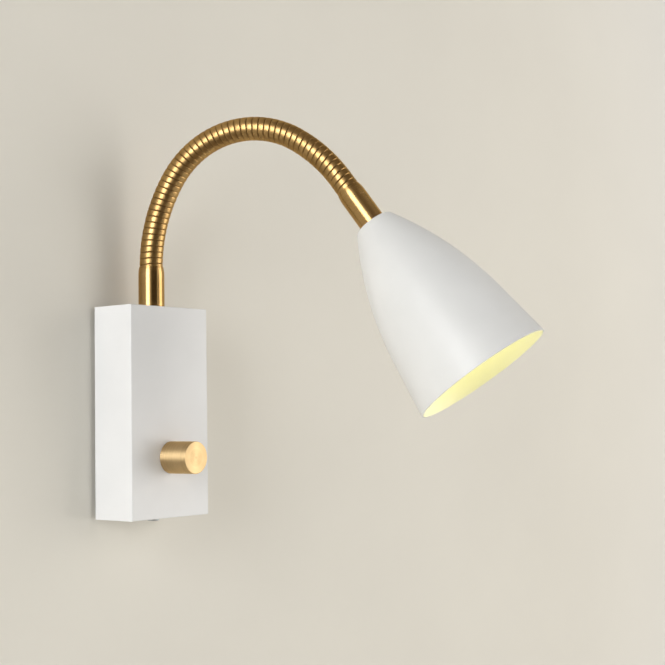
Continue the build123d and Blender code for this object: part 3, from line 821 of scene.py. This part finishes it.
# %% [markdown]
# An earth wire is green with a yellow stripe. A stripe that keeps to the wire would need a map along
# its length, which the CAD mesh doesn't have. The wire mostly climbs the box, so upright bands that
# wander a little across it read as that stripe.

# %% Earth wire
stripe_colours = ((0.03, 0.24, 0.05), (0.80, 0.62, 0.03))
stripe_edge = (0.95, 1.0)
stripe_scale = 150.0
stripe_wander = 1.5
sleeve_roughness = (0.46, 0.36)


def striped_sleeve(name):
    """Green insulation with a yellow stripe."""
    material, tree, shader, vector = new_finish(name)
    stains = place_group(tree, cloud, vector, Cloud_Scale=160.0, Speck_Scale=3200.0)
    bands = add_node(tree, "ShaderNodeTexWave", [("Vector", vector)], bands_direction="X")
    bands.inputs["Scale"].default_value = stripe_scale
    bands.inputs["Distortion"].default_value = stripe_wander
    mask = add_maths(tree, "ADD", bands.outputs["Fac"], stains["Cloud"])
    tree.links.new(fade(tree, mask, stripe_colours, stripe_edge), shader.inputs["Base Color"])
    tree.links.new(between(tree, stains["Cloud"], sleeve_roughness), shader.inputs["Roughness"])
    raise_surface(tree, shader, stains["Speck"], depth=0.00001, strength=0.4)
    return material


earth_sleeve = striped_sleeve("earth_sleeve")
print("earth wire", earth_sleeve.name)

# %% [markdown]
# The bulb is opal glass and it is lit. Light comes from all of its glass, a little less where the
# glass is thicker, so the glow has faint clouds of its own. A lamp inside clear glass would also
# work, but it is slow to render and noisier.

# %% Opal glass
glow_strength = 2.6
glow_colours = ((1.0, 0.895, 0.165), (1.0, 0.945, 0.225))
glow_span = (0.2, 0.8)
glass_roughness = (0.18, 0.26)
opal_white = (0.86, 0.84, 0.78, 1.0)


def lit_glass(name):
    """White glass that glows."""
    material, tree, shader, vector = new_finish(name)
    stains = place_group(tree, cloud, vector, Cloud_Scale=60.0, Speck_Scale=900.0)
    glow = fade(tree, stains["Cloud"], glow_colours, glow_span)
    tree.links.new(glow, shader.inputs["Emission Color"])
    tree.links.new(between(tree, stains["Cloud"], glass_roughness), shader.inputs["Roughness"])
    shader.inputs["Base Color"].default_value = opal_white
    shader.inputs["Emission Strength"].default_value = glow_strength
    return material


opal_glass = lit_glass("opal_glass")
print("bulb glows at", glow_strength)

# %% [markdown]
# The record names a slot for every node, so most nodes find their finish by it. A list of all the
# nodes would also do, but it would have to follow every change to the CAD. The turned brass pieces
# are the exception: each needs rings round its own axis.

# %% Give the nodes their finishes
finish_of_slot = {
    "box_white": box_lacquer,
    "shade_white": shade_lacquer,
    "zinc_steel": zinc_plating,
    "nickel": nickel_plating,
    "contact_brass": dull_brass,
    "block_plastic": moulded["block_plastic"],
    "dimmer_plastic": moulded["dimmer_plastic"],
    "holder_plastic": moulded["holder_plastic"],
    "grommet_rubber": moulded["grommet_rubber"],
    "lead_sheath": moulded["lead_sheath"],
    "live_insulation": moulded["live_sleeve"],
    "neutral_insulation": moulded["neutral_sleeve"],
    "earth_insulation": earth_sleeve,
    "opal_glass": opal_glass,
    "brass": hose_brass,
}


def dress(mesh, finish):
    """One finish on the whole of a mesh."""
    mesh.materials.clear()
    mesh.materials.append(finish)


for subpart in frame["record"]["subparts"]:
    name = subpart["node"]
    dress(nodes[name].data, turned.get(name) or finish_of_slot[subpart["material_slot"]])
for piece in hose_pieces:
    dress(piece.data, hose_brass)
print("finishes on", len(nodes), "nodes")

# %% [markdown]
# ## The wall and the floor
# The lamp hangs on a plain painted wall above a plain floor. Both could be made so large that their
# ends are out of sight, but a line would still show where they meet. So they fade into the colour of
# the room as they get farther from the lamp. Only what the camera, metal and glass see fades: the
# light that wall and floor send back stays.

# %% Fade into the room
fade_near = 0.5
fade_far = 1.4


def fade_into_room(tree, shader):
    """The shader near the lamp, and the room's own colour far from it."""
    place = tree.nodes.new("ShaderNodeTexCoord").outputs["Object"]
    distance = add_node(tree, "ShaderNodeVectorMath", [(0, place)], operation="LENGTH")
    far = add_node(tree, "ShaderNodeMapRange", [("Value", distance.outputs["Value"])])
    far.interpolation_type = "SMOOTHSTEP"
    far.inputs["From Min"].default_value = fade_near
    far.inputs["From Max"].default_value = fade_far
    room = tree.nodes.new("ShaderNodeEmission")
    room.inputs["Color"].default_value = room_colour
    room.inputs["Strength"].default_value = room_seen
    mask = add_maths(tree, "MULTIPLY", far.outputs["Result"], seeing_rays(tree))
    return mix_shaders(tree, mask, shader.outputs[0], room.outputs[0])


def show(tree, shader):
    """The shader that a material shows."""
    tree.links.new(shader, tree.nodes["Material Output"].inputs["Surface"])


print("the stage fades from", fade_near, "to", fade_far, "metres")

# %% [markdown]
# Behind the wall plate the wall has an opening, and seen from behind the paint is clear, so the back
# of the lamp can be looked at too. A boolean cut would make the opening, but with worse faces. So two
# outlines are drawn, and a bridge between them makes the wall.

# %% Build the wall
wall_size = 8.0
opening_size = (0.052, 0.112)
wall_clearance = 0.0005
wall_colours = ((0.785, 0.755, 0.685), (0.825, 0.795, 0.72))
wall_span = (0.25, 0.75)
wall_roughness = 0.85
wall_gloss = 0.2


def wall_material():
    """Matte paint, clear to an eye behind it."""
    material, tree, shader, vector = new_finish("wall_paint")
    stains = place_group(tree, cloud, vector, Cloud_Scale=5.0, Speck_Scale=260.0)
    colour = fade(tree, stains["Cloud"], wall_colours, wall_span)
    tree.links.new(colour, shader.inputs["Base Color"])
    shader.inputs["Roughness"].default_value = wall_roughness
    shader.inputs["Specular IOR Level"].default_value = wall_gloss
    raise_surface(tree, shader, stains["Speck"], depth=0.0002, strength=0.2)
    painted = fade_into_room(tree, shader)
    clear = tree.nodes.new("ShaderNodeBsdfTransparent").outputs[0]
    behind = tree.nodes.new("ShaderNodeNewGeometry").outputs["Backfacing"]
    eye = tree.nodes.new("ShaderNodeLightPath").outputs["Is Camera Ray"]
    eye_behind = add_maths(tree, "MULTIPLY", behind, eye)
    show(tree, mix_shaders(tree, eye_behind, painted, clear))
    return material


wall = add_plane("wall", wall_size)
bpy.ops.object.mode_set(mode="EDIT")
bpy.ops.mesh.delete(type="ONLY_FACE")
bpy.ops.mesh.primitive_plane_add(size=1.0)
bpy.ops.transform.resize(value=(*opening_size, 1.0))
bpy.ops.mesh.delete(type="ONLY_FACE")
bpy.ops.mesh.select_all(action="SELECT")
bpy.ops.mesh.bridge_edge_loops()
bpy.ops.object.mode_set(mode="OBJECT")
wall.rotation_euler = (math.pi / 2, 0.0, 0.0)
wall.location = (0.0, wall_clearance, 0.0)
bpy.ops.object.transform_apply(location=True, rotation=True, scale=True)
if sum(face.normal.y * face.area for face in wall.data.polygons) > 0.0:
    wall.data.flip_normals()
wall.data.materials.append(wall_material())
print("wall of", len(wall.data.polygons), "faces round an opening of", opening_size)

# %% [markdown]
# The floor is out of the picture, but light that bounces off it reaches the undersides of the box and
# the shade. An area light from below would do that too, but it would be one more light to balance.
# A plain square with pale paint does it by itself.

# %% Lay the floor
floor_height = -1.10
floor_size = 16.0
floor_colours = ((0.80, 0.79, 0.76), (0.84, 0.83, 0.80))
floor_roughness = 0.8


def floor_material():
    """Smooth pale paint."""
    material, tree, shader, vector = new_finish("floor_paint")
    stains = place_group(tree, cloud, vector, Cloud_Scale=3.0, Speck_Scale=120.0)
    tree.links.new(fade(tree, stains["Cloud"], floor_colours), shader.inputs["Base Color"])
    shader.inputs["Roughness"].default_value = floor_roughness
    show(tree, fade_into_room(tree, shader))
    return material


floor = add_plane("floor", floor_size, (0.0, 0.0, floor_height))
floor.data.materials.append(floor_material())
print("floor at", floor_height)

# %% [markdown]
# Bright metal in a pale room looks flat. Photographers stand dark cards round it to give it dark
# bands. A darker world would do that too, but it would also darken the picture. So a card stands in
# front, one hangs above and one lies below, and only reflections see them.

# %% Hang the dark cards
def dark_card(name, place, size, colour):
    """A dark square that looks at the lamp and shows only in reflections."""
    card = add_plane(name, size)
    aim = Vector(lamp_middle) - Vector(place)
    card.rotation_euler = aim.to_track_quat("Z", "Y").to_euler()
    card.location = place
    material, _, shader, _ = new_finish(name)
    shader.inputs["Base Color"].default_value = (*colour, 1.0)
    shader.inputs["Roughness"].default_value = 1.0
    card.data.materials.append(material)
    for ray in ("visible_camera", "visible_diffuse", "visible_shadow", "visible_transmission"):
        setattr(card, ray, False)
    return card


cards = [
    dark_card("front_card", (-0.27, -0.86, 0.15), size=0.9, colour=(0.12, 0.10, 0.08)),
    dark_card("upper_card", (0.10, -0.40, 1.10), size=2.0, colour=(0.28, 0.24, 0.20)),
    dark_card("lower_card", (-0.35, -0.35, -0.60), size=1.3, colour=(0.30, 0.25, 0.20)),
]
print("dark cards", [card.name for card in cards])

# %% [markdown]
# A small light behind the wall shines through the opening, so that the back of the lamp isn't black.
# A brighter room would light it too, but it would make the front flat.

# %% Light the back
back_place = (-0.25, 0.9, 0.2)
back_target = (0.0, 0.0, 0.0)
plain_white = (1.0, 0.99, 0.97)
area_light("back_light", back_place, back_target, size=0.7, power=6.0, colour=plain_white)
print("back light through an opening of", opening_size)
